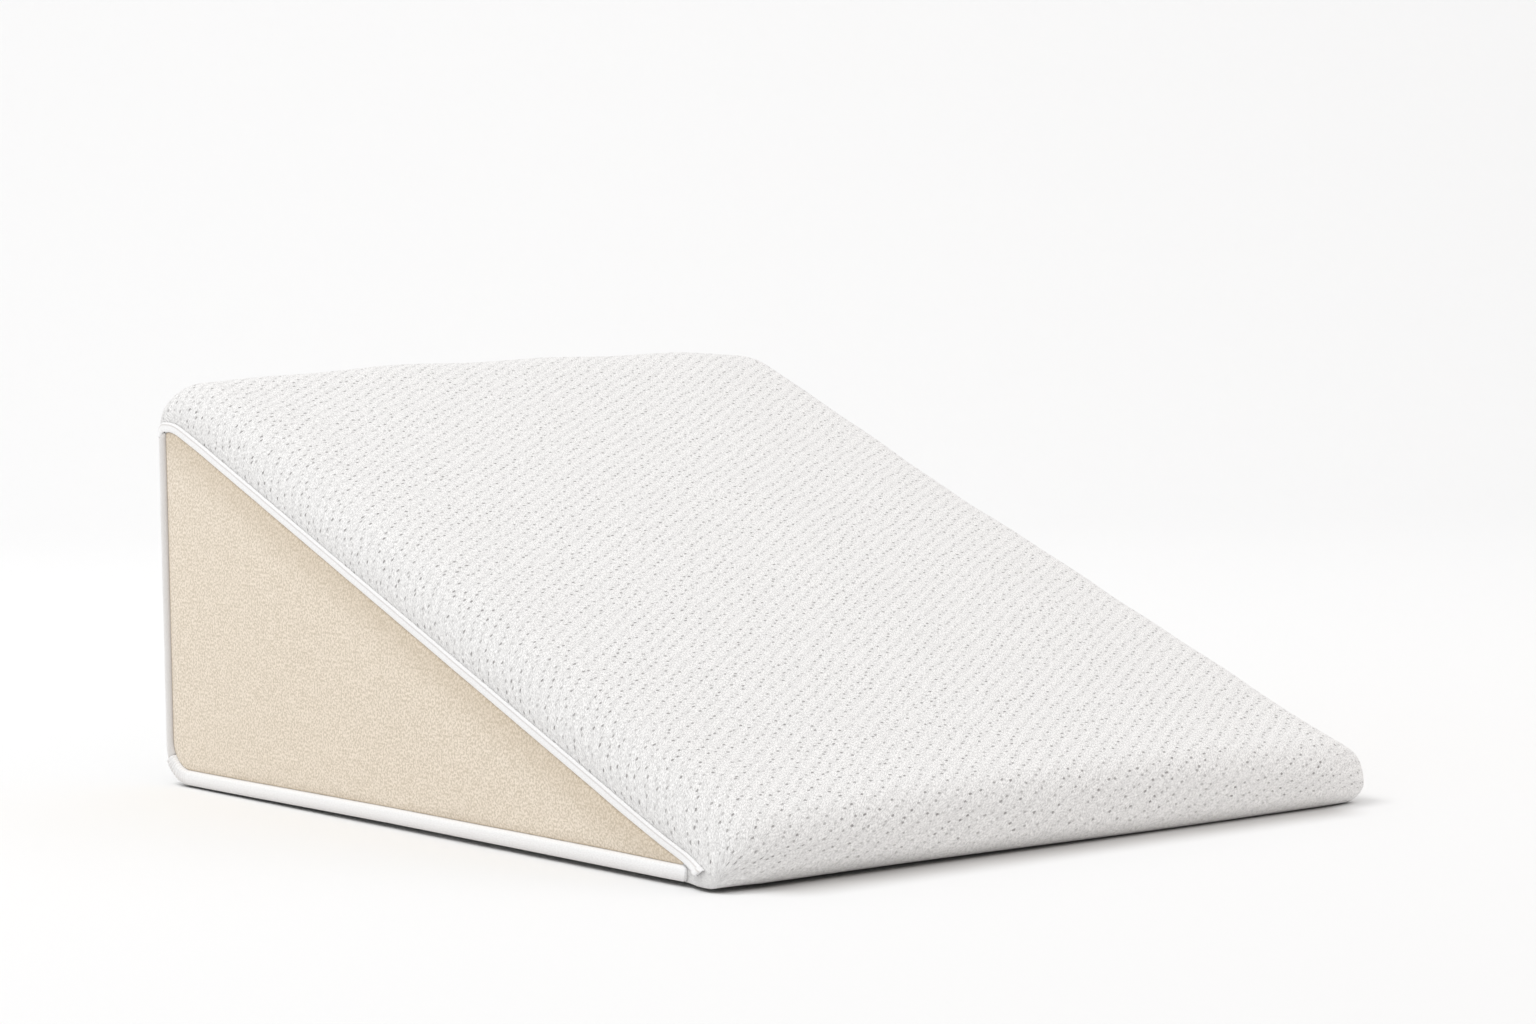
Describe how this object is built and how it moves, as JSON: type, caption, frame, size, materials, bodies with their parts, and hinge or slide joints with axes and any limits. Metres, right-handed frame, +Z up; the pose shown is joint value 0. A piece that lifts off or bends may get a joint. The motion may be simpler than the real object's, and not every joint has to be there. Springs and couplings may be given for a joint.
{
  "type": "wedge pillow",
  "caption": "Wedge pillow with a pitted knit cover, a long gentle slope to a rounded nose, and beige side panels bound in white.",
  "frame": {"origin": "on the floor under the middle of the pillow", "axes": "+Y from the low nose towards the tall back, +X across the width, +Z up"},
  "size_m": [0.6138, 0.74, 0.3315],
  "materials": {
    "knit_cover": "soft white pitted knit",
    "side_panel": "matt beige felt",
    "binding": "smooth white woven ribbon"
  },
  "bodies": {
    "root": {"cover_body": "knit_cover", "side_panel_left": "side_panel", "side_panel_right": "side_panel", "slope_binding_left": "binding", "slope_binding_right": "binding", "base_binding_left": "binding", "base_binding_right": "binding", "back_binding_left": "binding", "back_binding_right": "binding"}
  },
  "joints": []
}
